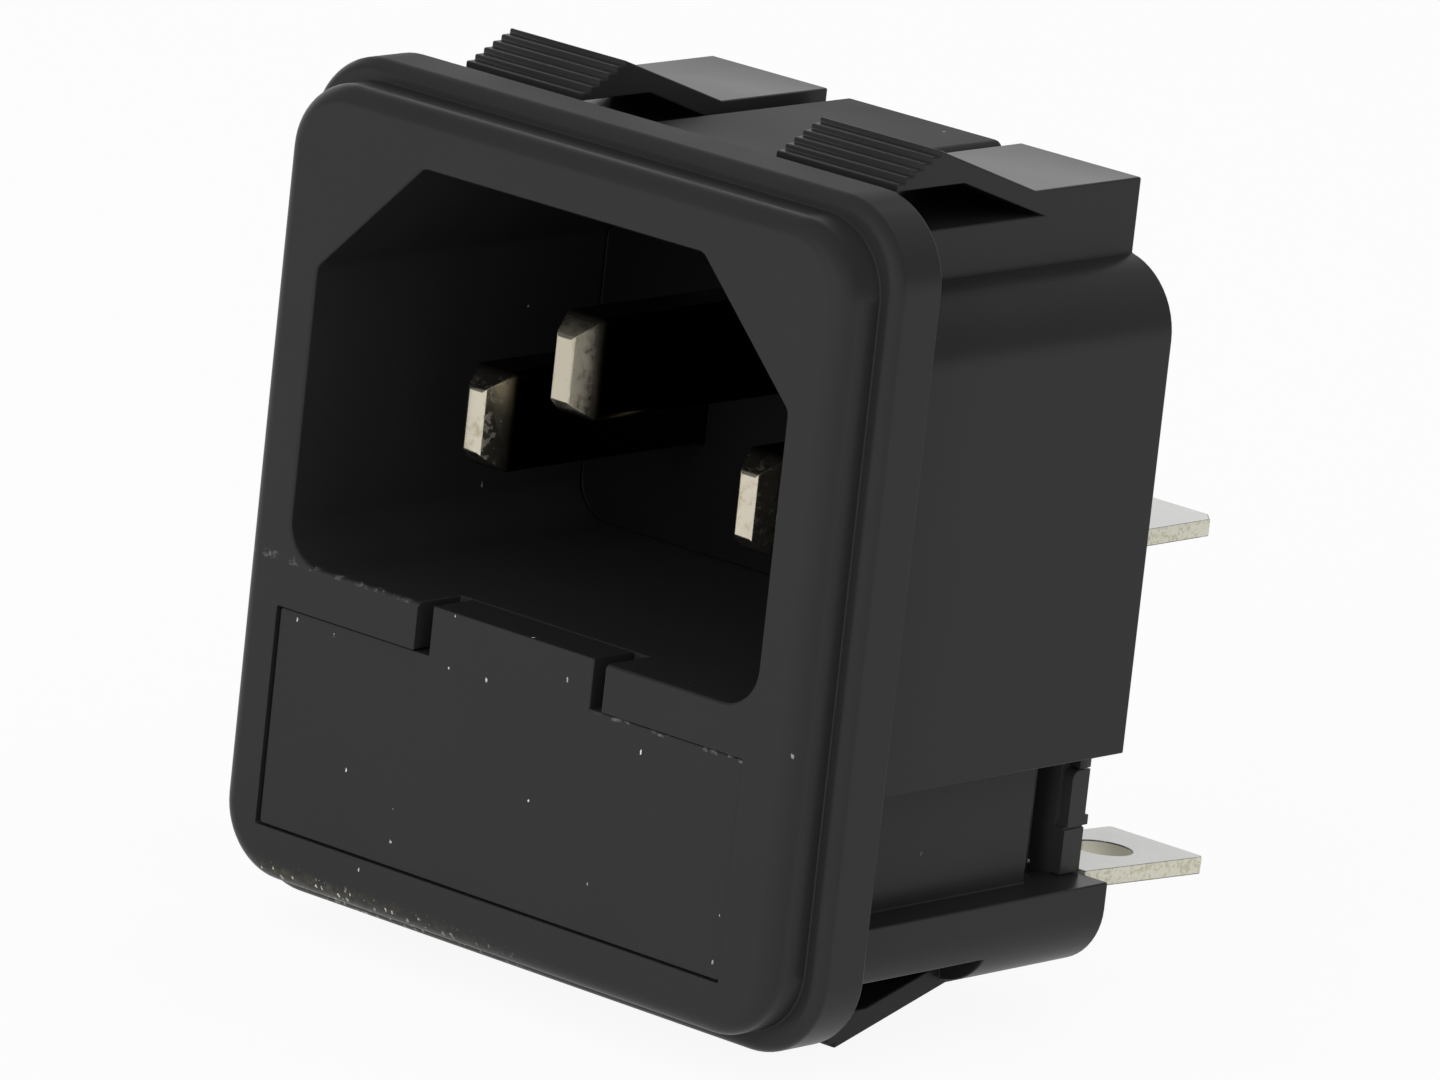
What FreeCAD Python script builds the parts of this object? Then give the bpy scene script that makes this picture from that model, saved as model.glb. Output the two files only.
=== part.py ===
import FreeCAD, Part
import os

# Snap-in mains inlet with a pull-out fuse drawer. Millimetres: X across, Y back through the panel, Z up.
# The origin is the middle of the panel face, which is the rear face of the flange.

# Pins and inlet cavity, to the ten ampere inlet standard
pin_spacing = 14.0
earth_rise = 4.0
pin_thick = 2.0
pin_tall = 4.0
pin_edge = 0.25
pin_tip_run = 1.25
pin_tip_inset = 0.57
pin_tip_drop = 0.75
line_pin_setback = 4.15
earth_pin_setback = 0.95
cavity_width = 24.0
cavity_height = 16.36
cavity_below_pins = 6.225
cavity_chamfer = 4.9
cavity_chamfer_round = 0.5
cavity_corner = 1.6
cavity_depth = 16.5
mouth_chamfer = 0.12

# Housing walls
side_wall = 1.4
roof_wall = 0.965
base_wall = 3.9
tunnel_roof = 2.505
tunnel_floor = 2.87
channel_wall = 1.0
channel_above_fuse = 2.3
channel_below_fuse = 2.83
shoulder_drop = 1.87
shoulder_corner = 3.0
bottom_corner = 2.55
pad_inset = 2.4
middle_rise = 0.86
middle_gap = 0.85
middle_corner = 0.4

# Flange and raised front plate
flange_side = 1.63
flange_top = 1.15
flange_bottom = 0.76
flange_thick = 2.5
flange_corner = 3.3
flange_edge = 0.5
plate_rise = 2.0
plate_inset = 0.8
plate_corner = 2.9
plate_edge = 0.8

# Snap wings, moulded with the housing
wing_width = 6.05
wing_tip_gap_top = 1.6
wing_tip_gap_bottom = 1.3
wing_tip_thick = 0.3
wing_flare_top = 2.05
wing_flare_bottom = 1.75
wing_slope_run = 5.85
wing_knee_run = 1.6
wing_root_top = 1.0
wing_root_bottom = 0.2
relief_floor = 1.54
relief_short = 0.45
serration_count = 5
serration_run = 0.46
serration_rise = 0.22

# Fuse, five by twenty millimetres
fuse_length = 20.0
fuse_end_gap = 0.9
cap_radius = 2.6
cap_length = 5.4
cap_end_wall = 0.5
tube_radius = 2.45
tube_wall = 0.55
fuse_wire_radius = 0.12

# Fuse clips and terminal tabs
strip_thick = 0.7
clip_width = 3.3
clip_end_gap = 0.25
clip_lead = 0.3
tab_width = 4.8
tab_length = 7.25
tab_neck_width = 2.4
tab_neck_run = 0.1
tab_droop = 2.8
tab_outboard = 0.75
tab_hole_radius = 1.2
tab_hole_setback = 3.4
tab_chamfer = 0.15
pin_tab_length = 9.3
pin_tab_chamfer = 0.6
pin_tab_drop = 0.65
terminal_depth = 1.8
strap_width = 3.0
rivet_radius = 0.7
rivet_head_radius = 1.2
rivet_head_thick = 0.3

# Fuse drawer
drawer_lip = 1.03
drawer_margin = 0.71
drawer_shift = 0.23
drawer_drop = 0.145
drawer_recess = 0.1
drawer_face_thick = 2.25
drawer_corner = 0.15
drawer_edge = 0.05
tongue_width = 8.3
tongue_slot = 0.7
arm_thick = 1.5
tray_floor = 0.5
seat_mouth = 4.0
spare_gap = 1.0
tail_wall = 0.9

# Rear plate over the fuse tunnel
rear_plate_thick = 1.15
rear_plate_lap = 0.5
ear_drop = 0.975
ear_round = 0.35
ear_step = 0.15
ear_step_below_fuse = 0.93
ear_seam = 0.08
gate_stub = 0.2
window_long = 2.1
window_over_ear = 0.5
web_gap = 0.45

# Clearances
slide_gap = 0.15
left_seam = 0.14
low_seam = 0.06
tight_seam = 0.05
grip_gap = 0.12
seat_gap = 0.08
fit_gap = 0.05
cut_over = 1.0
same_place = 0.0005

# Heights measured from the centre line of the line and neutral pins
cavity_floor_rise = -cavity_below_pins
cavity_top_rise = cavity_floor_rise + cavity_height
tunnel_half_height = cap_radius + grip_gap + strip_thick + slide_gap
fuse_rise = cavity_floor_rise - tunnel_roof - tunnel_half_height
roof_rise = cavity_top_rise + roof_wall
bottom_rise = fuse_rise - tunnel_half_height - tunnel_floor
flange_top_rise = roof_rise + wing_root_top + flange_top
flange_bottom_rise = bottom_rise - wing_root_bottom - flange_bottom

# Heights in the part's own frame, with the flange centred on the origin
pin_z = -(flange_top_rise + flange_bottom_rise) / 2
flange_half_height = (flange_top_rise - flange_bottom_rise) / 2
earth_z = pin_z + earth_rise
cavity_floor_z = pin_z + cavity_floor_rise
cavity_top_z = pin_z + cavity_top_rise
fuse_z = pin_z + fuse_rise
roof_z = pin_z + roof_rise
bottom_z = pin_z + bottom_rise
relief_z = bottom_z + tunnel_floor - relief_floor
channel_top_z = fuse_z + channel_above_fuse
channel_bottom_z = fuse_z - channel_below_fuse
ear_top_z = channel_top_z - ear_drop
ear_bottom_z = channel_bottom_z + fit_gap
ear_step_z = fuse_z - ear_step_below_fuse
drawer_half_height = tunnel_half_height + drawer_margin
drawer_top_z = fuse_z - drawer_drop + drawer_half_height
drawer_bottom_z = drawer_top_z - 2 * drawer_half_height

# Widths
cavity_half = cavity_width / 2
tunnel_half = fuse_length / 2 + fuse_end_gap
channel_x = tunnel_half + channel_wall
body_half = cavity_half + side_wall
flange_half = body_half + flange_side
pad_half = body_half - pad_inset
wing_inner_x = pad_half - wing_width
drawer_half = tunnel_half + drawer_lip
pin_x = pin_spacing / 2
clip_outer_x = fuse_length / 2 + fuse_end_gap - clip_end_gap
clip_inner_x = clip_outer_x - clip_width
arm_outer = fuse_length / 2 - cap_length - slide_gap
arm_inner = arm_outer - arm_thick
middle_half = wing_inner_x - middle_gap

# Depths
front_y = -(flange_thick + plate_rise)
base_y = front_y + cavity_depth
rear_y = base_y + base_wall
plate_front_y = rear_y - rear_plate_thick
web_rear_y = plate_front_y - web_gap
web_front_y = web_rear_y - strip_thick
active_y = web_front_y - grip_gap - cap_radius
drawer_front_y = front_y + drawer_recess
drawer_back_y = front_y + drawer_face_thick
spare_y = drawer_back_y + spare_gap + cap_radius
tail_y = active_y + tube_radius + tail_wall
terminal_y = rear_y - terminal_depth
serration_length = serration_count * serration_run
wing_flat_y = wing_tip_gap_top + serration_length + wing_slope_run
relief_end_y = wing_flat_y - relief_short


def box(x0, x1, y0, y1, z0, z1):
    corner = FreeCAD.Vector(x0, y0, z0)
    return Part.makeBox(x1 - x0, y1 - y0, z1 - z0, corner)


def edges_along(shape, axis):
    """Straight edges that run along one axis, given as 0, 1 or 2."""
    found = []
    for edge in shape.Edges:
        start, end = edge.Vertexes[0].Point, edge.Vertexes[-1].Point
        across = [abs(end[i] - start[i]) for i in range(3) if i != axis]
        if max(across) < same_place and abs(end[axis] - start[axis]) > same_place:
            found.append(edge)
    return found


def edges_at(shape, axis, value):
    """Edges that lie wholly in the plane where one coordinate has this value."""
    found = []
    for edge in shape.Edges:
        bounds = edge.BoundBox
        low = (bounds.XMin, bounds.YMin, bounds.ZMin)[axis]
        high = (bounds.XMax, bounds.YMax, bounds.ZMax)[axis]
        if abs(low - value) < same_place and abs(high - value) < same_place:
            found.append(edge)
    return found


def rounded_block(x_half, y0, y1, z0, z1, corner):
    """A block centred in X with the four edges along Y rounded."""
    block = box(-x_half, x_half, y0, y1, z0, z1)
    return block.makeFillet(corner, edges_along(block, 1))


def prism(points, direction):
    """A closed polygon of points pushed along a direction."""
    outline = Part.makePolygon(points + points[:1])
    return Part.Face(outline).extrude(direction)


def rod_x(radius, x0, x1, y, z):
    return Part.makeCylinder(radius, x1 - x0, FreeCAD.Vector(x0, y, z), FreeCAD.Vector(1, 0, 0))


def rod_y(radius, y0, y1, x, z):
    return Part.makeCylinder(radius, y1 - y0, FreeCAD.Vector(x, y0, z), FreeCAD.Vector(0, 1, 0))


def mirror_x(shape):
    return shape.mirror(FreeCAD.Vector(0, 0, 0), FreeCAD.Vector(1, 0, 0))


def cavity_cut():
    """The inlet's hollow: two upper corners cut at an angle and two lower corners rounded."""
    y0 = front_y - cut_over
    chamfer_z = cavity_top_z - cavity_chamfer
    chamfer_x = cavity_half - cavity_chamfer
    points = [
        FreeCAD.Vector(-cavity_half, y0, cavity_floor_z),
        FreeCAD.Vector(cavity_half, y0, cavity_floor_z),
        FreeCAD.Vector(cavity_half, y0, chamfer_z),
        FreeCAD.Vector(chamfer_x, y0, cavity_top_z),
        FreeCAD.Vector(-chamfer_x, y0, cavity_top_z),
        FreeCAD.Vector(-cavity_half, y0, chamfer_z),
    ]
    hollow = prism(points, FreeCAD.Vector(0, base_y - y0, 0))
    upper_edges = [e for e in edges_along(hollow, 1) if e.Vertexes[0].Z > pin_z]
    hollow = hollow.makeFillet(cavity_chamfer_round, upper_edges)
    floor_edges = [e for e in edges_along(hollow, 1) if abs(e.Vertexes[0].Z - cavity_floor_z) < fit_gap]
    return hollow.makeFillet(cavity_corner, floor_edges)


def bevelled_mouth(shell):
    """Bevels the edge where the inlet's hollow meets the front face."""
    mouth = [e for e in edges_at(shell, 1, front_y) if e.BoundBox.XMax < cavity_half + fit_gap]
    mouth = [e for e in mouth if e.BoundBox.XMin > -cavity_half - fit_gap]
    mouth = [e for e in mouth if e.BoundBox.ZMin > cavity_floor_z - fit_gap]
    mouth = [e for e in mouth if e.BoundBox.ZMax < cavity_top_z + fit_gap]
    return shell.makeChamfer(mouth_chamfer, mouth)


def snap_wing(flat_z, floor_z, flare, tip_y):
    """One wing: a beam rooted at the rear that rises forward, with a serrated ramp facing the flange."""
    up = 1 if flat_z > floor_z else -1
    peak_y = tip_y + serration_length
    peak_z = flat_z + up * flare
    low_z = peak_z - up * serration_count * serration_rise
    under_z = low_z - up * wing_tip_thick
    knee_y = peak_y + wing_knee_run
    root_y = knee_y + abs(under_z - floor_z) * (wing_flat_y - peak_y) / flare
    embedded_z = floor_z - up * roof_wall / 2
    profile = [(tip_y, under_z), (tip_y, low_z)]
    for step in range(1, serration_count + 1):
        step_y = tip_y + step * serration_run
        profile.append((step_y, low_z + up * (step - 1) * serration_rise))
        profile.append((step_y, low_z + up * step * serration_rise))
    profile += [(wing_flat_y, flat_z), (rear_y, flat_z), (rear_y, embedded_z)]
    profile += [(root_y, embedded_z), (root_y, floor_z), (knee_y, under_z)]
    points = [FreeCAD.Vector(wing_inner_x, y, z) for y, z in profile]
    return prism(points, FreeCAD.Vector(wing_width, 0, 0))


def body_block():
    """The body behind the flange: round shoulders, a pad for the upper wings and room for the lower ones."""
    shoulder_z = roof_z - shoulder_drop
    block = box(-body_half, body_half, -flange_thick, rear_y, bottom_z, shoulder_z)
    corners = edges_along(block, 1)
    upper = [e for e in corners if e.Vertexes[0].Z > fuse_z]
    block = block.makeFillet(shoulder_corner, upper)
    lower = [e for e in edges_along(block, 1) if abs(e.Vertexes[0].Z - bottom_z) < fit_gap]
    lower = [e for e in lower if abs(abs(e.Vertexes[0].X) - body_half) < fit_gap]
    block = block.makeFillet(bottom_corner, lower)
    pad = box(-pad_half, pad_half, -flange_thick, rear_y, fuse_z, roof_z)
    middle = box(-middle_half, middle_half, -flange_thick, rear_y, fuse_z, roof_z + middle_rise)
    ridges = [e for e in edges_along(middle, 1) if e.Vertexes[0].Z > roof_z]
    middle = middle.makeFillet(middle_corner, ridges)
    relief = box(middle_half, body_half + cut_over, 0, relief_end_y, bottom_z - cut_over, relief_z)
    return block.fuse([pad, middle]).cut([relief, mirror_x(relief)])


def front_bezel():
    """The flange and the smaller raised plate in front of it, each with a rounded front edge."""
    flange = rounded_block(flange_half, -flange_thick, 0, -flange_half_height, flange_half_height,
                           flange_corner)
    flange = flange.makeFillet(flange_edge, edges_at(flange, 1, -flange_thick))
    plate_half = flange_half - plate_inset
    plate_z = flange_half_height - plate_inset
    back_y = -flange_thick / 2
    plate = rounded_block(plate_half, front_y, back_y, -plate_z, plate_z, plate_corner)
    plate = plate.makeFillet(plate_edge, edges_at(plate, 1, front_y))
    return flange.fuse(plate)


def side_channel():
    """The channel along the lower side wall, beside the fuse."""
    return box(channel_x, body_half + cut_over, 0, rear_y + cut_over, channel_bottom_z, channel_top_z)


def side_window():
    """The opening through the channel's wall beside the fuse clip; the rear plate's ear stands in it."""
    return box(tunnel_half - fit_gap, body_half, plate_front_y - window_long, plate_front_y + window_over_ear,
               channel_bottom_z, channel_top_z)


def rear_plate_blank(extra):
    """The rear plate's outline, grown by a clearance where it is the housing's recess."""
    y0, y1 = plate_front_y, rear_y
    ears = box(-channel_x, channel_x, y0, y1, ear_bottom_z - extra, ear_top_z + extra)
    lap_x = tunnel_half + rear_plate_lap + extra
    lap_z = tunnel_half_height + rear_plate_lap + extra
    cover = box(-lap_x, lap_x, y0, y1, fuse_z - lap_z, fuse_z + lap_z)
    strap_x = strap_width / 2 + slide_gap + rear_plate_lap + extra
    strap_z = pin_z + strap_width / 2 + slide_gap + rear_plate_lap + extra
    strap_cover = box(-pin_x - strap_x, -pin_x + strap_x, y0, y1, fuse_z, strap_z)
    return cover.fuse([ears, strap_cover]).removeSplitter()


def strap_slot():
    """The slot in the base wall where the line pin's strap runs down to the fuse."""
    half = strap_width / 2 + slide_gap
    top_z = pin_z + strap_width / 2 + slide_gap
    return box(-pin_x - half, -pin_x + half, web_front_y - fit_gap, plate_front_y, fuse_z, top_z)


def terminal_pocket(x, z):
    """The slot in the rear face where a pin's tab is rooted, open up to the pin's own hole."""
    tab_top_z = z - pin_tall / 2 - pin_tab_drop
    half = tab_width / 2 + fit_gap
    slot = box(x - half, x + half, terminal_y, rear_y + cut_over,
               tab_top_z - strip_thick - fit_gap, tab_top_z + fit_gap)
    stem_half = pin_thick / 2 + fit_gap
    stem = box(x - stem_half, x + stem_half, terminal_y, rear_y + cut_over,
               tab_top_z, z + pin_tall / 2 + fit_gap)
    return slot.fuse(stem)


def pin_hole(x, z, end_y):
    """The hole through the base wall that a pin is pressed into."""
    half_x, half_z = pin_thick / 2 + fit_gap, pin_tall / 2 + fit_gap
    return box(x - half_x, x + half_x, base_y - cut_over, end_y, z - half_z, z + half_z)


def drawer_pocket():
    """The pocket for the drawer's face, which sits up and to the right in it, and the tongue's notch."""
    y0, y1 = front_y - cut_over, drawer_back_y + slide_gap
    pocket = box(-drawer_half - left_seam, drawer_half + tight_seam, y0, y1,
                 drawer_bottom_z - low_seam, drawer_top_z + tight_seam)
    notch_x = tongue_width / 2 + tongue_slot
    notch = box(-notch_x, notch_x, y0, y1, fuse_z, cavity_floor_z + cut_over)
    both = pocket.fuse(notch)
    both.translate(FreeCAD.Vector(-drawer_shift, 0, 0))
    return both


def housing():
    """The one-piece moulding: bezel, body, cavity, fuse tunnel and four snap wings."""
    upper = snap_wing(roof_z + wing_root_top, roof_z, wing_flare_top, wing_tip_gap_top)
    lower = snap_wing(bottom_z - wing_root_bottom, relief_z, wing_flare_bottom, wing_tip_gap_bottom)
    shell = body_block().fuse([front_bezel(), upper, mirror_x(upper), lower, mirror_x(lower)])
    shell = bevelled_mouth(shell.cut(cavity_cut()))
    tunnel = box(-tunnel_half, tunnel_half, front_y, rear_y + cut_over,
                 fuse_z - tunnel_half_height, fuse_z + tunnel_half_height)
    cuts = [tunnel, drawer_pocket(), rear_plate_blank(fit_gap), strap_slot()]
    for side in (side_channel(), side_window()):
        cuts += [side, mirror_x(side)]
    cuts += [pin_hole(pin_x, pin_z, rear_y), pin_hole(0, earth_z, rear_y)]
    cuts += [terminal_pocket(pin_x, pin_z), terminal_pocket(0, earth_z)]
    cuts.append(pin_hole(-pin_x, pin_z, web_front_y))
    return shell.cut(cuts).removeSplitter()


def pin_section(x, y, z, inset, drop):
    """The outline across a pin at one depth, drawn in by an inset in X and by a drop in Z."""
    half_x, half_z = pin_thick / 2 - inset, pin_tall / 2 - drop
    corners = [(-half_x, -half_z), (half_x, -half_z), (half_x, half_z), (-half_x, half_z), (-half_x, -half_z)]
    return Part.makePolygon([FreeCAD.Vector(x + dx, y, z + dz) for dx, dz in corners])


def pin_blade(x, z, tip_y, end_y):
    """A flat contact pin with rounded long edges and a tip that tapers on all four sides."""
    half_x, half_z = pin_thick / 2, pin_tall / 2
    blade = box(x - half_x, x + half_x, tip_y, end_y, z - half_z, z + half_z)
    blade = blade.makeFillet(pin_edge, edges_along(blade, 1))
    full_y = tip_y + pin_tip_run
    point = pin_section(x, tip_y, z, pin_tip_inset, pin_tip_drop)
    tip = Part.makeLoft([point, pin_section(x, full_y, z, 0, 0)], True)
    shank = box(x - half_x, x + half_x, full_y, end_y, z - half_z, z + half_z)
    return blade.common(tip.fuse(shank))


def tab(x, y0, y1, top_z, chamfer):
    """A flat push-on tab with its two rear corners cut off and a round hole near the end."""
    half = tab_width / 2
    blade = box(x - half, x + half, y0, y1, top_z - strip_thick, top_z)
    corners = [e for e in edges_along(blade, 2) if abs(e.Vertexes[0].Y - y1) < fit_gap]
    blade = blade.makeChamfer(chamfer, corners)
    centre = FreeCAD.Vector(x, y1 - tab_hole_setback, top_z - strip_thick - cut_over)
    hole = Part.makeCylinder(tab_hole_radius, strip_thick + 2 * cut_over, centre)
    return blade.cut(hole)


def tabbed_pin(x, z, setback):
    """A pin that passes through the base wall, steps down inside it and ends in a push-on tab."""
    blade = pin_blade(x, z, front_y + setback, rear_y)
    tab_top_z = z - pin_tall / 2 - pin_tab_drop
    root_y = terminal_y + fit_gap
    stem = box(x - pin_thick / 2, x + pin_thick / 2, root_y, rear_y, tab_top_z - strip_thick, z)
    blade = blade.fuse([stem, tab(x, root_y, rear_y + pin_tab_length, tab_top_z, pin_tab_chamfer)])
    return blade.removeSplitter()


def line_pin():
    """The line pin, riveted at its inner end to the strap of the fuse clip beside it."""
    blade = pin_blade(-pin_x, pin_z, front_y + line_pin_setback, web_front_y)
    tail = rod_y(rivet_radius, web_front_y - strip_thick, web_rear_y + rivet_head_thick, -pin_x, pin_z)
    head = rod_y(rivet_head_radius, web_rear_y, web_rear_y + rivet_head_thick, -pin_x, pin_z)
    return blade.fuse([tail, head])


def clip_bow(inner_x, outer_x):
    """A spring clip that opens forward and holds a fuse cap between two leaves."""
    grip = cap_radius + grip_gap
    lead_y = active_y - cap_radius + clip_lead
    upper = box(inner_x, outer_x, lead_y, web_rear_y, fuse_z + grip, fuse_z + grip + strip_thick)
    lower = box(inner_x, outer_x, lead_y, web_rear_y, fuse_z - grip - strip_thick, fuse_z - grip)
    web = box(inner_x, outer_x, web_front_y, web_rear_y,
              fuse_z - grip - strip_thick, fuse_z + grip + strip_thick)
    bow = web.fuse([upper, lower]).removeSplitter()
    bends = [e for e in edges_along(bow, 0) if abs(e.Vertexes[0].Y - web_rear_y) < fit_gap]
    return bow.makeFillet(strip_thick / 2, bends)


def right_fuse_clip():
    """The clip at the fuse's right end, with its lower leaf carried back to a slightly drooping tab."""
    bow = clip_bow(clip_inner_x, clip_outer_x)
    centre_x = (clip_inner_x + clip_outer_x) / 2
    tab_top_z = fuse_z - cap_radius - grip_gap
    tab_y = rear_y + tab_neck_run
    neck_x0, neck_x1 = centre_x - tab_neck_width / 2, centre_x + tab_neck_width / 2
    neck = box(neck_x0, neck_x1, web_front_y, rear_y, tab_top_z - strip_thick, tab_top_z)
    outer_neck = box(neck_x0, neck_x1, rear_y, tab_y + strip_thick, tab_top_z - strip_thick, tab_top_z)
    blade = tab(centre_x + tab_outboard, tab_y, tab_y + tab_length, tab_top_z, tab_chamfer).fuse(outer_neck)
    blade.rotate(FreeCAD.Vector(0, rear_y, tab_top_z), FreeCAD.Vector(1, 0, 0), -tab_droop)
    return bow.fuse([neck, blade]).removeSplitter()


def left_fuse_clip():
    """The clip at the fuse's left end, with a strap that runs up to the line pin."""
    bow = clip_bow(-clip_outer_x, -clip_inner_x)
    half = strap_width / 2
    strap = box(-pin_x - half, -pin_x + half, web_front_y, web_rear_y, fuse_z, pin_z + half)
    foot = box(-clip_outer_x, -pin_x + half, web_front_y, web_rear_y, fuse_z, fuse_z + cap_radius)
    hole = rod_y(rivet_radius + fit_gap, web_front_y - cut_over, web_rear_y + cut_over, -pin_x, pin_z)
    return bow.fuse([strap, foot]).cut(hole).removeSplitter()


def rear_plate():
    """The plate that closes the fuse tunnel and the strap's slot, with a slot for the fused tab's neck."""
    blank = rear_plate_blank(0)
    step = box(tunnel_half + rear_plate_lap, channel_x, plate_front_y, plate_front_y + ear_step,
               ear_step_z, ear_top_z)
    seam = box(channel_x - ear_seam, channel_x, plate_front_y, rear_y, ear_step_z - ear_seam, ear_step_z)
    blank = blank.cut([step, mirror_x(step), seam, mirror_x(seam)])
    tops = [e for e in edges_along(blank, 0) if abs(e.Vertexes[0].Z - ear_top_z) < fit_gap]
    tops = [e for e in tops if abs(e.Vertexes[0].Y - rear_y) > fit_gap]
    blank = blank.makeFillet(ear_round, tops)
    stub = box(channel_x - rear_plate_lap, channel_x, rear_y - gate_stub, rear_y + gate_stub,
               ear_step_z, ear_step_z + 2 * gate_stub)
    blank = blank.fuse([stub, mirror_x(stub)])
    centre_x = (clip_inner_x + clip_outer_x) / 2
    half = tab_neck_width / 2 + slide_gap
    top_z = fuse_z - cap_radius - grip_gap + slide_gap
    slot = box(centre_x - half, centre_x + half, plate_front_y - cut_over, rear_y + cut_over,
               top_z - strip_thick - 2 * slide_gap, top_z)
    return blank.cut(slot).removeSplitter()


def fuse_tray():
    """The drawer's tray: two arms on a thin floor, each with two round seats open at the top."""
    tray_half = tunnel_half_height - 2 * slide_gap
    floor = box(-arm_outer, arm_outer, drawer_back_y - drawer_edge, tail_y,
                fuse_z - tray_half, fuse_z - tray_half + tray_floor)
    arm = box(arm_inner, arm_outer, drawer_back_y - drawer_edge, tail_y,
              fuse_z - tray_half, fuse_z + tray_half)
    tray = floor.fuse([arm, mirror_x(arm)])
    for y in (spare_y, active_y):
        seat = rod_x(tube_radius + seat_gap, -arm_outer - cut_over, arm_outer + cut_over, y, fuse_z)
        mouth = box(-arm_outer - cut_over, arm_outer + cut_over, y - seat_mouth / 2, y + seat_mouth / 2,
                    fuse_z, fuse_z + tray_half + cut_over)
        tray = tray.cut([seat, mouth])
    return tray


def fuse_drawer():
    """The drawer: a face a little left of the middle with a tongue up to the cavity, and the tray."""
    face = rounded_block(drawer_half, drawer_front_y, drawer_back_y, drawer_bottom_z, drawer_top_z,
                         drawer_corner)
    tongue = box(-tongue_width / 2, tongue_width / 2, drawer_front_y, drawer_back_y, fuse_z, cavity_floor_z)
    front = face.fuse(tongue).removeSplitter()
    front = front.makeFillet(drawer_edge, edges_at(front, 1, drawer_front_y))
    front.translate(FreeCAD.Vector(-drawer_shift, 0, 0))
    return front.fuse(fuse_tray()).removeSplitter()


def fuse_cap(y, side):
    """A metal cap over one end of the fuse tube; side is -1 for left and 1 for right."""
    end_x = fuse_length / 2
    cup = rod_x(cap_radius, end_x - cap_length, end_x, y, fuse_z)
    bore = rod_x(tube_radius + fit_gap, end_x - cap_length - cut_over, end_x - cap_end_wall, y, fuse_z)
    cup = cup.makeFillet(cap_end_wall / 2, edges_at(cup, 0, end_x)).cut(bore)
    return cup if side > 0 else mirror_x(cup)


def fuse_tube(y):
    half = fuse_length / 2 - cap_end_wall - fit_gap
    outer = rod_x(tube_radius, -half, half, y, fuse_z)
    return outer.cut(rod_x(tube_radius - tube_wall, -half - cut_over, half + cut_over, y, fuse_z))


def fuse_wire(y):
    half = fuse_length / 2 - cap_end_wall - fit_gap
    return rod_x(fuse_wire_radius, -half, half, y, fuse_z)


def write_node(name, shape):
    shape.exportStep("parts/" + name + ".step")


os.makedirs("parts", exist_ok=True)
write_node("housing", housing())
write_node("rear_plate", rear_plate())
write_node("line_pin", line_pin())
write_node("neutral_pin", tabbed_pin(pin_x, pin_z, line_pin_setback))
write_node("earth_pin", tabbed_pin(0, earth_z, earth_pin_setback))
write_node("left_fuse_clip", left_fuse_clip())
write_node("right_fuse_clip", right_fuse_clip())
write_node("fuse_drawer", fuse_drawer())
for fuse_name, fuse_y in (("active_fuse", active_y), ("spare_fuse", spare_y)):
    write_node(fuse_name + "_tube", fuse_tube(fuse_y))
    write_node(fuse_name + "_wire", fuse_wire(fuse_y))
    write_node(fuse_name + "_left_cap", fuse_cap(fuse_y, -1))
    write_node(fuse_name + "_right_cap", fuse_cap(fuse_y, 1))
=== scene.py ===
import math

import bmesh
import bpy
from mathutils import Matrix, Vector


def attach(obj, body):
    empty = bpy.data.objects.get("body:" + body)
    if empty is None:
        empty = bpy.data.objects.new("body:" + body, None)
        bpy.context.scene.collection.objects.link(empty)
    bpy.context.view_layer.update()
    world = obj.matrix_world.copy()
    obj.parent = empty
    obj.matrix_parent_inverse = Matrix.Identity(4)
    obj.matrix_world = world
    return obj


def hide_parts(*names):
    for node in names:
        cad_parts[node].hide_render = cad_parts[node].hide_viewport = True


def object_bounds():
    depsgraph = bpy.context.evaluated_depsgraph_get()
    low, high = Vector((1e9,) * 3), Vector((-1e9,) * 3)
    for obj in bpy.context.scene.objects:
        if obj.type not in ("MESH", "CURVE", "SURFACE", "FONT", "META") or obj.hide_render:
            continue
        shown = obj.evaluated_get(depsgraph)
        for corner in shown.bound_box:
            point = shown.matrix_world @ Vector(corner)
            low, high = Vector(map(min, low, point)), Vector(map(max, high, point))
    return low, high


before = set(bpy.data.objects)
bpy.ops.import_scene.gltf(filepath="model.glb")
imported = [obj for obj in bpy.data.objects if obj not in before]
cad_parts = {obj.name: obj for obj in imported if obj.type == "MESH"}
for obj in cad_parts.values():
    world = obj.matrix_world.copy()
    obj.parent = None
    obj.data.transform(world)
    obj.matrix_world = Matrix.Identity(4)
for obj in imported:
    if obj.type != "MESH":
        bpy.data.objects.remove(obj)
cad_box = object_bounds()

# Metres, in the part's frame: X across, Y back through the panel, Z up.
MM = 0.001

# Edges: the tool's own small radii on the mouldings, and the broken edges of the metal
MOULDED_EDGE = 0.07 * MM
SEAM_EDGE = 0.02 * MM
TIP_EDGE = 0.13 * MM
STAMPED_EDGE = 0.05 * MM
DRAWN_EDGE = 0.04 * MM
WIRE_EDGE = 0.01 * MM
EDGE_STEPS = 2
SHARP_ANGLE = math.radians(50)
FLAT_ANGLE = math.radians(0.4)
FLAT_WEIGHT = 60
SAME_POINT = 0.001 * MM

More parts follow.
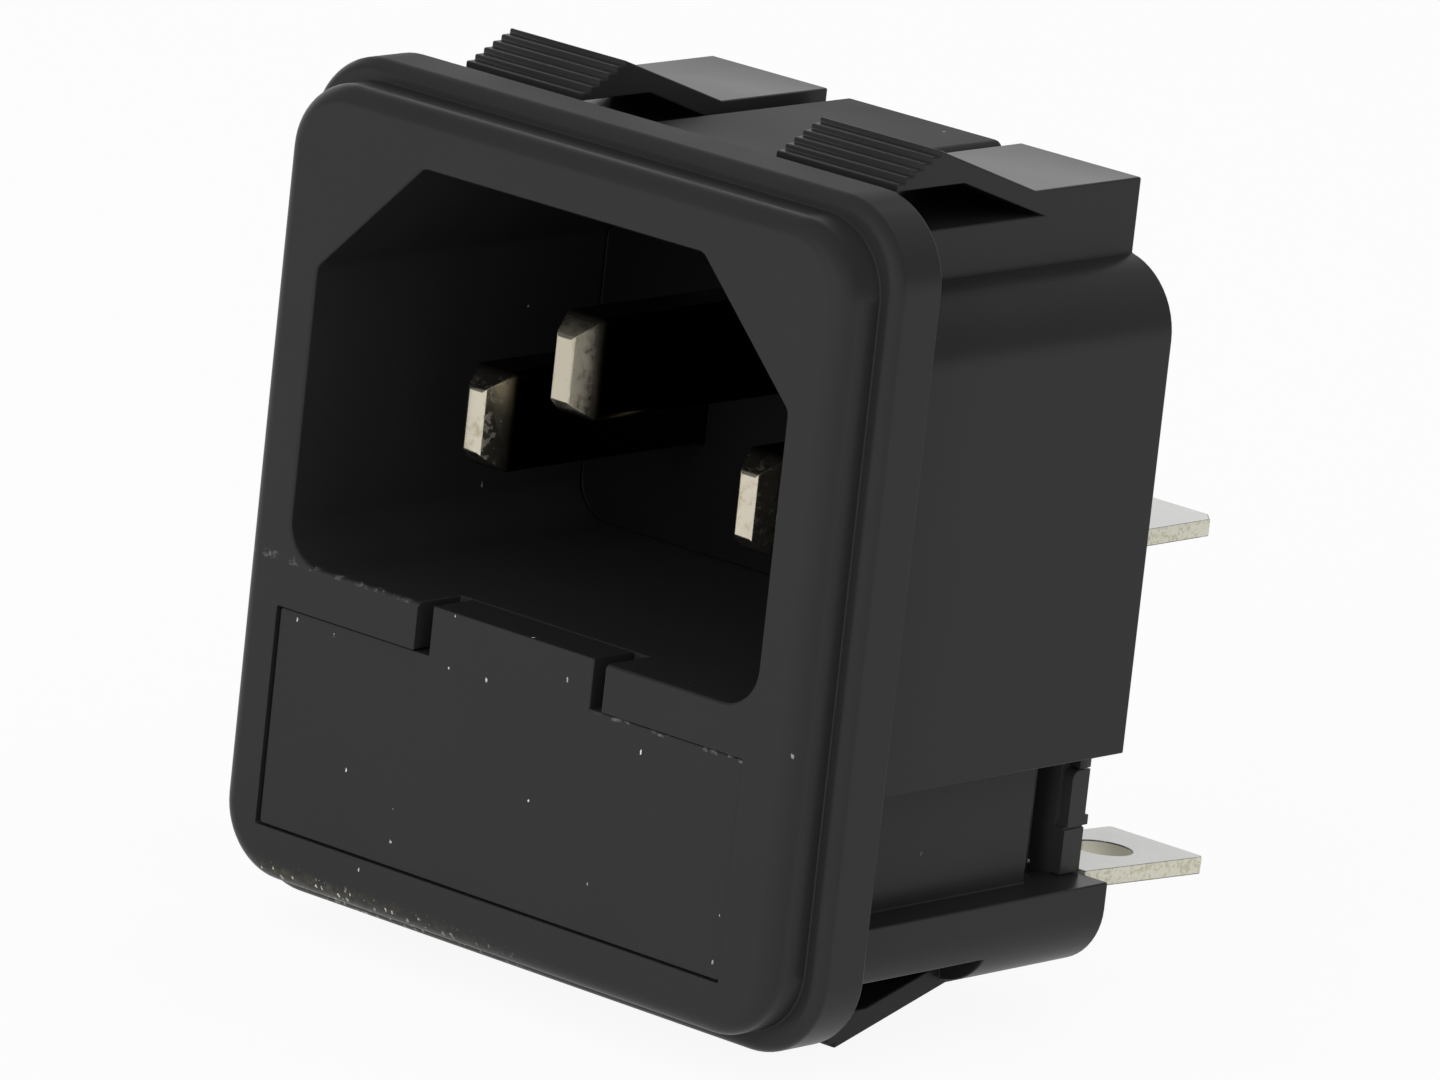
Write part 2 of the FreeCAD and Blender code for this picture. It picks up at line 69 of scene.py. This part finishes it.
# Places on the part that the finishes, the wear and the painted shade follow
FRONT_Y = -4.5 * MM
REAR_Y = 15.9 * MM
BEZEL_LOW_Z = -15.1 * MM
RECESS_FLOOR_Z = -3.0 * MM
RECESS_SHADE_FADE_Z = (11.8 * MM, 9.0 * MM)
RECESS_HALF = 12.0 * MM
RECESS_BASE_Y = 12.0 * MM
DRAWER_TOP_Z = -4.94 * MM
DRAWER_LOW_Z = -13.5 * MM
LINE_TIP_Y = -0.35 * MM
EARTH_TIP_Y = -3.55 * MM
PIN_TIP_RUN = 1.25 * MM
PLATE_TOP_Z = 5.6 * MM
PLATE_POCKET = 1.2 * MM
RIM_LOW_Z = 16.0 * MM
RIM_SOFT = 0.3 * MM
ROOF_Z = 15.2 * MM
ROOF_HALF = 3.9 * MM

# How softly a finish ends, and the stretches over which the wear comes up
SOFT = 0.1 * MM
WIDE_SOFT = 0.2 * MM
LIP_RISE = (0.4 * MM, -0.1 * MM)
LIP_DEPTH = (2.4 * MM, 2.2 * MM)
LIP_ACROSS = (4 * MM, -9 * MM)
MOUTH_HALF = 0.13 * MM
MOUTH_SOFT = 0.07 * MM
MOUTH_DEPTH = (0.3 * MM, 0.15 * MM)
MOUTH_ACROSS = (2 * MM, -10 * MM)
RUB_ACROSS = (4 * MM, 6 * MM)
RUB_DEPTH = (0.5 * MM, 0.3 * MM)
RUB_DROP = (0.18 * MM, 0.12 * MM)

# Sizes of the patterns in millimetres. The mould's grain, near 0.03, is too fine to show in the render,
# so it is drawn coarser.
MELT_CLOUD = 7
MOULD_GRAIN = 0.11
DUST_CELL = 0.8
DUST_RAG = 0.12
FLAKE_CELL = 0.25
FLAKE_GRIT = 0.35
RUB_GRIT = 0.5
PLATING_CLOUD = 0.8
COINED_PATCH = 0.3
SHEAR_TEAR = 0.45
GLASS_HAZE = 2.5
PAPER_FIBRE = 3

# Levels of a pattern between which a finish comes up, and its strength where that is not one
LIP_STAIN = (0.4, 0.7, 0.35)
MOUTH_RUBBED = (0.5, 0.68, 0.25)
DRAWER_RUBBED = (0.48, 0.62, 0.3)
PLATING_THIN = (0.52, 0.78, 0.6)
SHEAR_TORN = (0.5, 0.6, 0.55)
EDGE_DARK = (0.3, 0.45, 0.85)
GLASS_HAZY = (0.35, 0.75, 0.08)
LINE_COINED = (0.5, 0.75)
EARTH_COINED = (0.15, 0.6)

# How far a face of the tabs looks up or across, as levels between which its kind begins
SIDE_UP = (0.3, 0.2)
EDGE_FROM_SIDE = (0.2, 0.3)
EDGE_TO_FLAT = (0.985, 0.96)
FLANK_ACROSS = (0.9, 0.97)

# Dust and flakes: the share of their cells with a speck, a speck's reach, its strength and its shape
CLEAN_SHARE = 0.05
DUSTY_SHARE = 0.3
DUST_REACH = 0.115
FLAKE_SHARE = 0.8
FLAKE_REACH = 0.4
SHARE_STEP = 0.01
SPECK_STRENGTH = (0.25, 1.0)
SPECK_PUSH = 0.13 * MM
SPECK_STRETCH = (1.2, 1.0, 0.55)

# Roughness, with what is added to it where a finish is coarser, metalness and bumps
PLASTIC_ROUGH = (0.23, 0.39)
COARSE_MORE = 0.21
PIN_ROUGH = (0.12, 0.26)
STRIP_ROUGH = (0.26, 0.36)
CAP_ROUGH = (0.14, 0.3)
WIRE_ROUGH = (0.2, 0.4)
COINED_MORE = 0.35
SHEAR_MORE = 0.3
TAB_METAL = 0.5
SHEAR_METAL = 0.35
BUMP_HEIGHT = 0.02 * MM
GRAIN_BUMP = 0.12
SHEAR_BUMP = 0.5

# Camera of the photo, solved from the recess and the outline
CAMERA_PLACE = Vector((298.8498, -343.3234, 110.4844)) * MM
CAMERA_RIGHT = Vector((0.739300, 0.664978, 0.106012))
CAMERA_UP = Vector((-0.234354, 0.106498, 0.966300))
CAMERA_BACK = Vector((0.631279, -0.739231, 0.234575))
CAMERA_LENS = 309.685
CAMERA_SENSOR = 36.0
CAMERA_NEAR = 10 * MM
CAMERA_FAR = 20.0

# Stage: an even room light, and low screens behind the part and in front of it that its faces mirror
FLOOR_HALF = 3000 * MM
FLOOR_GLOW = 0.92
FLOOR_SHINE = 0.68
ROOM_FILL = 0.75
ROOM_DARK = 0.12
SCREEN_WAY = Vector((-0.649, 0.760, 0.0))
SCREEN_SIDES = (0.2, 0.7)
SCREEN_TOP = (0.8, 0.35)
FRONT_SCREEN = 0.35
LAMP_PLACE = Vector((60, -560, 120)) * MM
LAMP_SIZE = 500 * MM
LAMP_POWER = 2.2

# Sockets of a Mix node, which share their names: its two floats, its two colours and the mixed colour
FLOAT_A = 2
FLOAT_B = 3
COLOUR_A = 6
COLOUR_B = 7
COLOUR_OUT = 2


def tone(code):
    """A colour written as sRGB hex, turned to linear with full opacity."""
    parts = [int(code[i:i + 2], 16) / 255 for i in (1, 3, 5)]
    return [c / 12.92 if c <= 0.04045 else ((c + 0.055) / 1.055) ** 2.4 for c in parts] + [1.0]


def add(tree, kind, settings=None, links=None):
    """Adds one node: settings fill its fields or inputs, links join sockets or give numbers to inputs."""
    made = tree.nodes.new(kind)
    for key, value in (settings or {}).items():
        if isinstance(key, int) or key in made.inputs:
            made.inputs[key].default_value = value
        else:
            setattr(made, key, value)
    for key, source in (links or {}).items():
        if isinstance(source, bpy.types.NodeSocket):
            tree.links.new(source, made.inputs[key])
        else:
            made.inputs[key].default_value = source
    return made


def new_material(name):
    """An empty node material, its tree and the part's own coordinates in it."""
    made = bpy.data.materials.new(name)
    made.use_nodes = True
    made.node_tree.nodes.clear()
    return made, made.node_tree, add(made.node_tree, "ShaderNodeTexCoord").outputs["Object"]


def per_mm(size):
    """The texture scale that gives a pattern this size in millimetres."""
    return 1 / (size * MM)


def area(tree, *spans):
    """Mask of the area where all the spans meet.

    A span is a mask, or a value with the two levels between which its mask smoothly comes up, in either
    order, and the mask's strength where that is not one.
    """
    mask = None
    for span in spans:
        if isinstance(span, tuple):
            value, start, end, strength = (*span, 1.0)[:4]
            levels = {"From Min": start, "From Max": end, "To Max": strength}
            span = add(tree, "ShaderNodeMapRange", {"interpolation_type": "SMOOTHSTEP", **levels},
                       {"Value": value}).outputs[0]
        if mask is not None:
            span = add(tree, "ShaderNodeMath", {"operation": "MULTIPLY"}, {0: mask, 1: span}).outputs[0]
        mask = span
    return mask


def within(value, low, high, soft):
    """The two spans of a band from low to high, with soft ends outside it."""
    return (value, low - soft, low), (value, high + soft, high)


def paint(tree, below, above, *spans):
    """A colour laid over another in an area; the one above is written as hex."""
    return add(tree, "ShaderNodeMix", {"data_type": "RGBA", COLOUR_B: tone(above)},
               {"Factor": area(tree, *spans), COLOUR_A: below}).outputs[COLOUR_OUT]


def dust(tree, place, cell, share, reach):
    """White lint: ragged upright specks of unlike size and strength, one in each of a share of the cells."""
    wander = add(tree, "ShaderNodeTexNoise", {"Scale": per_mm(DUST_RAG), "Detail": 1.0}, {"Vector": place})
    pushed = add(tree, "ShaderNodeVectorMath", {"operation": "MULTIPLY_ADD", 1: (SPECK_PUSH,) * 3},
                 {0: wander.outputs["Color"], 2: place})
    drawn = add(tree, "ShaderNodeVectorMath", {"operation": "MULTIPLY", 1: SPECK_STRETCH},
                {0: pushed.outputs[0]})
    cells = add(tree, "ShaderNodeTexVoronoi", {"Scale": per_mm(cell)}, {"Vector": drawn.outputs[0]})
    chance = add(tree, "ShaderNodeSeparateColor", None, {"Color": cells.outputs["Color"]})
    size = add(tree, "ShaderNodeMath", {"operation": "MULTIPLY", 1: reach}, {0: chance.outputs["Green"]})
    near = add(tree, "ShaderNodeMath", {"operation": "LESS_THAN"},
               {0: cells.outputs["Distance"], 1: size.outputs[0]})
    strength = add(tree, "ShaderNodeMapRange", {"To Min": SPECK_STRENGTH[0], "To Max": SPECK_STRENGTH[1]},
                   {"Value": chance.outputs["Blue"]})
    return area(tree, (chance.outputs["Red"], share, share - SHARE_STEP), near.outputs[0],
                strength.outputs[0])


def worn_and_shaded_housing(tree, place, colour):
    """Painted shade on the recess base, from its floor up and fading out below its top, pale flakes on the
    bezel's lower left edge and rubbing on the recess's.
    """
    x, y, z = add(tree, "ShaderNodeSeparateXYZ", None, {"Vector": place}).outputs
    shaded_base = area(tree, *within(y, RECESS_BASE_Y - SOFT, RECESS_BASE_Y + SOFT, SOFT),
                *within(x, -RECESS_HALF, RECESS_HALF, SOFT),
                (z, RECESS_FLOOR_Z - SOFT, RECESS_FLOOR_Z), (z, *RECESS_SHADE_FADE_Z))
    lip = area(tree, (z, *(BEZEL_LOW_Z + rise for rise in LIP_RISE)),
               (y, *(FRONT_Y + depth for depth in LIP_DEPTH)), (x, *LIP_ACROSS))
    mouth = area(tree, *within(z, RECESS_FLOOR_Z - MOUTH_HALF, RECESS_FLOOR_Z + MOUTH_HALF, MOUTH_SOFT),
                 (y, *(FRONT_Y + depth for depth in MOUTH_DEPTH)), (x, *MOUTH_ACROSS))
    grit = add(tree, "ShaderNodeTexNoise", {"Scale": per_mm(FLAKE_GRIT), "Detail": 5.0, "Roughness": 0.75},
               {"Vector": place}).outputs["Fac"]
    # painted shade: the recess base is painted near black, darker than the rest of the housing
    colour = paint(tree, colour, "#121213", shaded_base)
    colour = paint(tree, colour, "#6f6b52", lip, (grit, *LIP_STAIN))
    colour = paint(tree, colour, "#b9b7ab", mouth, (grit, *MOUTH_RUBBED))
    return paint(tree, colour, "#d6d3c2", lip, dust(tree, place, FLAKE_CELL, FLAKE_SHARE, FLAKE_REACH))


def worn_drawer(tree, place, colour):
    """Pale dashes along the right half of the drawer's upper edge, where it rubs in its pocket."""
    x, y, z = add(tree, "ShaderNodeSeparateXYZ", None, {"Vector": place}).outputs
    edge = area(tree, (x, *RUB_ACROSS), (y, *(FRONT_Y + depth for depth in RUB_DEPTH)),
                (z, *(DRAWER_TOP_Z - drop for drop in RUB_DROP)))
    grit = add(tree, "ShaderNodeTexNoise", {"Scale": per_mm(RUB_GRIT), "Detail": 3.0}, {"Vector": place})
    return paint(tree, colour, "#b9b7ab", edge, (grit.outputs["Fac"], *DRAWER_RUBBED))


def coarse_rim(tree, place):
    """Mask of the flange's rim and the middle of the roof, which the mould made coarser than the wings."""
    x, y, z = add(tree, "ShaderNodeSeparateXYZ", None, {"Vector": place}).outputs
    across = add(tree, "ShaderNodeMath", {"operation": "ABSOLUTE"}, {0: x}).outputs[0]
    rim = area(tree, (z, RIM_LOW_Z, RIM_LOW_Z + RIM_SOFT), (y, SOFT, 0.0))
    roof = area(tree, *within(z, ROOF_Z - SOFT, ROOF_Z + SOFT, WIDE_SOFT),
                (across, ROOF_HALF + SOFT, ROOF_HALF), (y, -SOFT, 0.0))
    return add(tree, "ShaderNodeMath", {"operation": "MAXIMUM"}, {0: rim, 1: roof}).outputs[0]


def moulded_plastic(name, dark, light, dust_share, wear_and_shade=None, coarse=None):
    """Satin black thermoplastic from a finely eroded steel mould.

    It gives the eye an even charcoal with broad soft reflections that turn pale at a glancing angle, faint
    clouds where the melt flowed, a fine grain, white specks of dust, and the wear and painted shade that its
    own function paints. Under the mask that coarse gives it is rougher.
    """
    made, tree, place = new_material(name)
    cloud = add(tree, "ShaderNodeTexNoise", {"Scale": per_mm(MELT_CLOUD), "Detail": 3.0},
                {"Vector": place}).outputs["Fac"]
    grain = add(tree, "ShaderNodeTexNoise", {"Scale": per_mm(MOULD_GRAIN), "Detail": 2.0}, {"Vector": place})
    colour = add(tree, "ShaderNodeMix", {"data_type": "RGBA", COLOUR_A: tone(dark), COLOUR_B: tone(light)},
                 {"Factor": cloud}).outputs[COLOUR_OUT]
    if wear_and_shade:
        colour = wear_and_shade(tree, place, colour)
    colour = paint(tree, colour, "#dcdbd6", dust(tree, place, DUST_CELL, dust_share, DUST_REACH))
    rough = add(tree, "ShaderNodeMapRange", {"To Min": PLASTIC_ROUGH[0], "To Max": PLASTIC_ROUGH[1]},
                {"Value": cloud})
    if coarse:
        rough = add(tree, "ShaderNodeMath", {"operation": "MULTIPLY_ADD", 1: COARSE_MORE},
                    {0: coarse(tree, place), 2: rough.outputs[0]})
    bump = add(tree, "ShaderNodeBump", {"Strength": GRAIN_BUMP, "Distance": BUMP_HEIGHT},
               {"Height": grain.outputs["Fac"]})
    skin = add(tree, "ShaderNodeBsdfPrincipled", {"IOR": 1.5, "Specular IOR Level": 0.2},
               {"Base Color": colour, "Roughness": rough.outputs[0], "Normal": bump.outputs[0]})
    add(tree, "ShaderNodeOutputMaterial", None, {"Surface": skin.outputs[0]})
    return made


def coined_and_shaded_pin(tree, place, colour, rough, tip_y, coined):
    """A pin in its recess: flats behind the tip, patchily matt, with painted shade that browns the flats
    further in and paints the shank near black.

    Gives back its colour and roughness.
    """
    depth = add(tree, "ShaderNodeSeparateXYZ", None, {"Vector": place}).outputs["Y"]
    full_y = tip_y + PIN_TIP_RUN
    round_y = tip_y + TIP_EDGE
    patch = add(tree, "ShaderNodeTexNoise", {"Scale": per_mm(COINED_PATCH), "Detail": 3.0}, {"Vector": place})
    matt = area(tree, (patch.outputs["Fac"], *coined), (depth, tip_y, round_y), (depth, full_y, round_y))
    # painted shade: the flats brown towards their back end
    colour = paint(tree, colour, "#857d69", (depth, full_y - PIN_TIP_RUN / 2, full_y))
    # painted shade: the shank in the recess is painted near black, up to the housing's rear
    colour = paint(tree, colour, "#36332c", (depth, full_y - WIDE_SOFT, full_y),
                   (depth, REAR_Y, REAR_Y - WIDE_SOFT))
    rough = add(tree, "ShaderNodeMath", {"operation": "MULTIPLY_ADD", 1: COINED_MORE}, {0: matt, 2: rough})
    return colour, rough.outputs[0]


def stamped_tab(tree, place, colour, rough, tint):
    """The metal behind the housing: half matt grey faces, pale torn sheared sides and thin edges darkened
    with painted shade.

    Gives back its colour, roughness, metalness and normal.
    """
    true_normal = add(tree, "ShaderNodeNewGeometry").outputs["True Normal"]
    facing = add(tree, "ShaderNodeVectorMath", {"operation": "ABSOLUTE"}, {0: true_normal})
    across, _, up = add(tree, "ShaderNodeSeparateXYZ", None, {"Vector": facing.outputs[0]}).outputs
    depth = add(tree, "ShaderNodeSeparateXYZ", None, {"Vector": place}).outputs["Y"]
    tears = add(tree, "ShaderNodeTexNoise",
                {"Scale": per_mm(SHEAR_TEAR), "Detail": 4.0, "Roughness": 0.7, "Distortion": 1.5},
                {"Vector": place}).outputs["Fac"]
    outside = area(tree, (depth, REAR_Y, REAR_Y + WIDE_SOFT))
    side = area(tree, outside, (up, *SIDE_UP))
    flank = area(tree, side, (across, *FLANK_ACROSS))
    edge = area(tree, outside, (up, *EDGE_FROM_SIDE), (up, *EDGE_TO_FLAT))
    colour = paint(tree, colour, "#d2d2d0", outside)
    colour = paint(tree, colour, "#f1eedd", side)
    colour = paint(tree, colour, "#bdb894", flank, (tears, *SHEAR_TORN))
    # painted shade: the bevels between the faces and the sheared sides are painted dark
    colour = paint(tree, colour, "#4b4a42", edge, (tint, *EDGE_DARK))
    rough = add(tree, "ShaderNodeMath", {"operation": "MULTIPLY_ADD", 1: SHEAR_MORE}, {0: side, 2: rough})
    faces = add(tree, "ShaderNodeMapRange", {"To Min": 1.0, "To Max": TAB_METAL}, {"Value": outside})
    metal = add(tree, "ShaderNodeMath", {"operation": "MULTIPLY_ADD", 1: SHEAR_METAL - TAB_METAL},
                {0: side, 2: faces.outputs[0]})
    bump = add(tree, "ShaderNodeBump", {"Distance": BUMP_HEIGHT},
               {"Height": tears, "Strength": area(tree, (flank, 0.0, 1.0, SHEAR_BUMP))})
    return colour, rough.outputs[0], metal.outputs[0], bump.outputs[0]


def plated_metal(name, plate, bare, shine, tip_y=None, coined=None, tab=False):
    """Nickel or tin over brass or copper, drawn or stamped from strip.

    It gives the eye a pale warm metal, browner where the plating is thin. A pin, which starts at tip_y and
    whose flats are matt where their patches pass the levels of coined, and a tab have finishes of their own,
    with painted shade on the pin's flats and shank and on the tab's edges.
    """
    made, tree, place = new_material(name)
    tint = add(tree, "ShaderNodeTexNoise", {"Scale": per_mm(PLATING_CLOUD), "Detail": 4.0, "Roughness": 0.65},
               {"Vector": place}).outputs["Fac"]
    colour = add(tree, "ShaderNodeMix", {"data_type": "RGBA", COLOUR_A: tone(plate), COLOUR_B: tone(bare)},
                 {"Factor": area(tree, (tint, *PLATING_THIN))}).outputs[COLOUR_OUT]
    rough = add(tree, "ShaderNodeMapRange", {"To Min": shine[0], "To Max": shine[1]},
                {"Value": tint}).outputs[0]
    if coined:
        colour, rough = coined_and_shaded_pin(tree, place, colour, rough, tip_y, coined)
    links = {"Base Color": colour, "Roughness": rough}
    if tab:
        finish = stamped_tab(tree, place, colour, rough, tint)
        links = dict(zip(("Base Color", "Roughness", "Metallic", "Normal"), finish))
    skin = add(tree, "ShaderNodeBsdfPrincipled", {"Metallic": 1.0}, links)
    add(tree, "ShaderNodeOutputMaterial", None, {"Surface": skin.outputs[0]})
    return made


def fuse_glass():
    """Clear soda glass tube, drawn, which shows as bright edge lines and a faint green body."""
    made, tree, place = new_material("clear_soda_glass")
    haze = add(tree, "ShaderNodeTexNoise", {"Scale": per_mm(GLASS_HAZE), "Detail": 3.0}, {"Vector": place})
    skin = add(tree, "ShaderNodeBsdfPrincipled",
               {"Base Color": tone("#eef4f1"), "IOR": 1.52, "Transmission Weight": 1.0},
               {"Roughness": area(tree, (haze.outputs["Fac"], *GLASS_HAZY))})
    add(tree, "ShaderNodeOutputMaterial", None, {"Surface": skin.outputs[0]})
    return made


def housing_edge(spot):
    """Nearly sharp where the drawer's face or the rear plate fits closely in the housing, else softer."""
    at_front = spot.y < FRONT_Y + WIDE_SOFT
    at_rear = spot.y > REAR_Y - PLATE_POCKET and abs(spot.x) < RECESS_HALF
    at_drawer = at_front and DRAWER_LOW_Z - WIDE_SOFT < spot.z < RECESS_FLOOR_Z - WIDE_SOFT
    at_plate = at_rear and DRAWER_LOW_Z < spot.z < PLATE_TOP_Z
    return SEAM_EDGE if at_drawer or at_plate else MOULDED_EDGE


def pin_edge(spot, tip_y):
    """Worn round at a pin's end, nearly sharp where its flats meet, and stamped on the tab behind."""
    if spot.y < tip_y + SEAM_EDGE:
        return TIP_EDGE
    return STAMPED_EDGE if spot.y > REAR_Y else SEAM_EDGE


def line_edge(spot):
    """The edges of the line and neutral pins."""
    return pin_edge(spot, LINE_TIP_Y)


def earth_edge(spot):
    """The edges of the earth pin, which reaches further forward."""
    return pin_edge(spot, EARTH_TIP_Y)


def softened(node, edge, material, body, edge_at=None):
    """A copy of a solid with its corners broken, which stands in for it with smooth curves and flat flats.

    Its sharp edges are broken by edge, or by what edge_at gives for their middle point.
    """
    bm = bmesh.new()
    bm.from_mesh(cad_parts[node].data)
    bmesh.ops.remove_doubles(bm, verts=bm.verts, dist=SAME_POINT)
    bmesh.ops.dissolve_limit(bm, angle_limit=FLAT_ANGLE, verts=bm.verts, edges=bm.edges)
    weight = bm.edges.layers.float.new("bevel_weight_edge")
    for line in bm.edges:
        if line.is_manifold and line.calc_face_angle() > SHARP_ANGLE:
            middle = (line.verts[0].co + line.verts[1].co) / 2
            line[weight] = edge_at(middle) / edge if edge_at else 1.0
    mesh = bpy.data.meshes.new(node + "_rough")
    bm.to_mesh(mesh)
    bm.free()
    for face in mesh.polygons:
        face.use_smooth = True
    rough = bpy.data.objects.new(node + "_rough", mesh)
    bpy.context.scene.collection.objects.link(rough)
    broken = rough.modifiers.new("broken_edges", "BEVEL")
    broken.limit_method = "WEIGHT"
    broken.width = edge
    broken.segments = EDGE_STEPS
    broken.use_clamp_overlap = False
    level = rough.modifiers.new("flat_flats", "WEIGHTED_NORMAL")
    level.weight = FLAT_WEIGHT
    shown = bpy.data.meshes.new_from_object(rough.evaluated_get(bpy.context.evaluated_depsgraph_get()))
    bpy.data.objects.remove(rough)
    shown.name = node + "_finished"
    shown.materials.clear()
    shown.materials.append(material)
    piece = bpy.data.objects.new(node + "_finished", shown)
    bpy.context.scene.collection.objects.link(piece)
    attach(piece, body)
    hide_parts(node)


def make_pieces():
    """Every solid of the inlet, softened and dressed in its own material."""
    charcoal = ("#282829", "#2c2c2d")
    housing = moulded_plastic("black_pbt_housing", *charcoal, CLEAN_SHARE, worn_and_shaded_housing, coarse_rim)
    drawer = moulded_plastic("black_pbt_drawer", *charcoal, DUSTY_SHARE, worn_drawer)
    plate = moulded_plastic("black_pbt_rear_plate", "#303031", "#363637", CLEAN_SHARE)
    line = plated_metal("nickel_plated_brass_line", "#f2ead5", "#b09a6c", PIN_ROUGH,
                        LINE_TIP_Y, LINE_COINED, tab=True)
    earth = plated_metal("nickel_plated_brass_earth", "#e2dac5", "#b09a6c", PIN_ROUGH,
                         EARTH_TIP_Y, EARTH_COINED, tab=True)
    strip = plated_metal("tin_plated_brass_strip", "#cbc9c2", "#bdb59a", STRIP_ROUGH, tab=True)
    caps = plated_metal("nickel_plated_cap", "#d4d2cc", "#b6ab90", CAP_ROUGH)
    wire = plated_metal("tinned_copper_wire", "#cfccc4", "#b08a62", WIRE_ROUGH)
    glass = fuse_glass()

    softened("housing", MOULDED_EDGE, housing, "inlet", housing_edge)
    softened("rear_plate", SEAM_EDGE, plate, "inlet")
    softened("fuse_drawer", SEAM_EDGE, drawer, "drawer")
    softened("line_pin", TIP_EDGE, line, "inlet", line_edge)
    softened("neutral_pin", TIP_EDGE, line, "inlet", line_edge)
    softened("earth_pin", TIP_EDGE, earth, "inlet", earth_edge)
    for clip in ("left_fuse_clip", "right_fuse_clip"):
        softened(clip, STAMPED_EDGE, strip, "inlet")
    for fuse in ("active_fuse", "spare_fuse"):
        for end in ("_left_cap", "_right_cap"):
            softened(fuse + end, DRAWN_EDGE, caps, "drawer")
        softened(fuse + "_tube", DRAWN_EDGE, glass, "drawer")
        softened(fuse + "_wire", WIRE_EDGE, wire, "drawer")


def make_camera():
    """The photo's camera, with its small roll."""
    lens = bpy.data.cameras.new("photo_camera")
    lens.lens = CAMERA_LENS
    lens.sensor_width = CAMERA_SENSOR
    lens.clip_start = CAMERA_NEAR
    lens.clip_end = CAMERA_FAR
    camera = bpy.data.objects.new("photo_camera", lens)
    turn = Matrix((CAMERA_RIGHT, CAMERA_UP, CAMERA_BACK)).transposed().to_4x4()
    camera.matrix_world = Matrix.Translation(CAMERA_PLACE) @ turn
    bpy.context.scene.collection.objects.link(camera)
    bpy.context.scene.camera = camera


def by_ray(tree, mirrored, other):
    """A strength of one for rays from the camera or through glass, mirrored for reflections, else other."""
    path = add(tree, "ShaderNodeLightPath")
    seen = add(tree, "ShaderNodeMath", {"operation": "MAXIMUM"},
               {0: path.outputs["Is Camera Ray"], 1: path.outputs["Is Transmission Ray"]})
    lit = add(tree, "ShaderNodeMix", {"data_type": "FLOAT"},
              {"Factor": path.outputs["Is Glossy Ray"], FLOAT_A: other, FLOAT_B: mirrored})
    return add(tree, "ShaderNodeMix", {"data_type": "FLOAT", FLOAT_B: 1.0},
               {"Factor": seen.outputs[0], FLOAT_A: lit.outputs[0]}).outputs[0]


def make_floor():
    """A white paper floor under the lowest wing tips, which glows so that it stays white round the shadow."""
    z = cad_box[0].z
    half = FLOOR_HALF
    corners = [(-half, -half, z), (half, -half, z), (half, half, z), (-half, half, z)]
    mesh = bpy.data.meshes.new("floor")
    mesh.from_pydata(corners, [], [(0, 1, 2, 3)])
    floor = bpy.data.objects.new("floor", mesh)
    bpy.context.scene.collection.objects.link(floor)
    paper, tree, place = new_material("white_paper_floor")
    fibre = add(tree, "ShaderNodeTexNoise", {"Scale": per_mm(PAPER_FIBRE), "Detail": 2.0}, {"Vector": place})
    shade = add(tree, "ShaderNodeMix",
                {"data_type": "RGBA", COLOUR_A: tone("#f0f0f0"), COLOUR_B: tone("#f4f4f4")},
                {"Factor": fibre.outputs["Fac"]})
    matt = add(tree, "ShaderNodeBsdfDiffuse", None, {"Color": shade.outputs[COLOUR_OUT]})
    glow = add(tree, "ShaderNodeEmission", {"Color": tone("#ffffff")},
               {"Strength": by_ray(tree, FLOOR_SHINE, 0.0)})
    share = add(tree, "ShaderNodeMath", {"operation": "MULTIPLY", 1: FLOOR_GLOW},
                {0: by_ray(tree, 1.0, 0.0)})
    mixed = add(tree, "ShaderNodeMixShader", None,
                {0: share.outputs[0], 1: matt.outputs[0], 2: glow.outputs[0]})
    add(tree, "ShaderNodeOutputMaterial", None, {"Surface": mixed.outputs[0]})
    mesh.materials.append(paper)


def make_room():
    """White to the eye; reflections see a dark room with a low screen behind and a weaker one in front."""
    world = bpy.data.worlds.new("studio_room")
    world.use_nodes = True
    tree = world.node_tree
    tree.nodes.clear()
    way = add(tree, "ShaderNodeTexCoord").outputs["Generated"]
    behind = add(tree, "ShaderNodeVectorMath", {"operation": "DOT_PRODUCT", 1: SCREEN_WAY},
                 {0: way}).outputs["Value"]
    aside = add(tree, "ShaderNodeMath", {"operation": "ABSOLUTE"}, {0: behind}).outputs[0]
    height = add(tree, "ShaderNodeSeparateXYZ", None, {"Vector": way}).outputs["Z"]
    turn = {"From Min": -SCREEN_SIDES[0], "From Max": SCREEN_SIDES[0]}
    power = add(tree, "ShaderNodeMapRange", {**turn, "To Min": FRONT_SCREEN, "To Max": 1.0},
                {"Value": behind})
    screen = area(tree, (aside, *SCREEN_SIDES), (height, *SCREEN_TOP), power.outputs[0])
    mirrored = add(tree, "ShaderNodeMapRange", {"To Min": ROOM_DARK, "To Max": 1.0}, {"Value": screen})
    sky = add(tree, "ShaderNodeBackground", {"Color": tone("#ffffff")},
              {"Strength": by_ray(tree, mirrored.outputs[0], ROOM_FILL)})
    add(tree, "ShaderNodeOutputWorld", None, {"Surface": sky.outputs[0]})
    bpy.context.scene.world = world


def make_lamp():
    """One broad soft lamp in front, kept out of reflections so that the plastic shows no image of it."""
    lamp = bpy.data.lights.new("soft_front", "AREA")
    lamp.size = LAMP_SIZE
    lamp.energy = LAMP_POWER
    holder = bpy.data.objects.new("soft_front", lamp)
    holder.location = LAMP_PLACE
    holder.rotation_euler = (-LAMP_PLACE).to_track_quat("-Z", "Y").to_euler()
    holder.visible_glossy = False
    bpy.context.scene.collection.objects.link(holder)


make_camera()
make_pieces()
make_floor()
make_room()
make_lamp()
bpy.context.scene.view_settings.view_transform = "Standard"
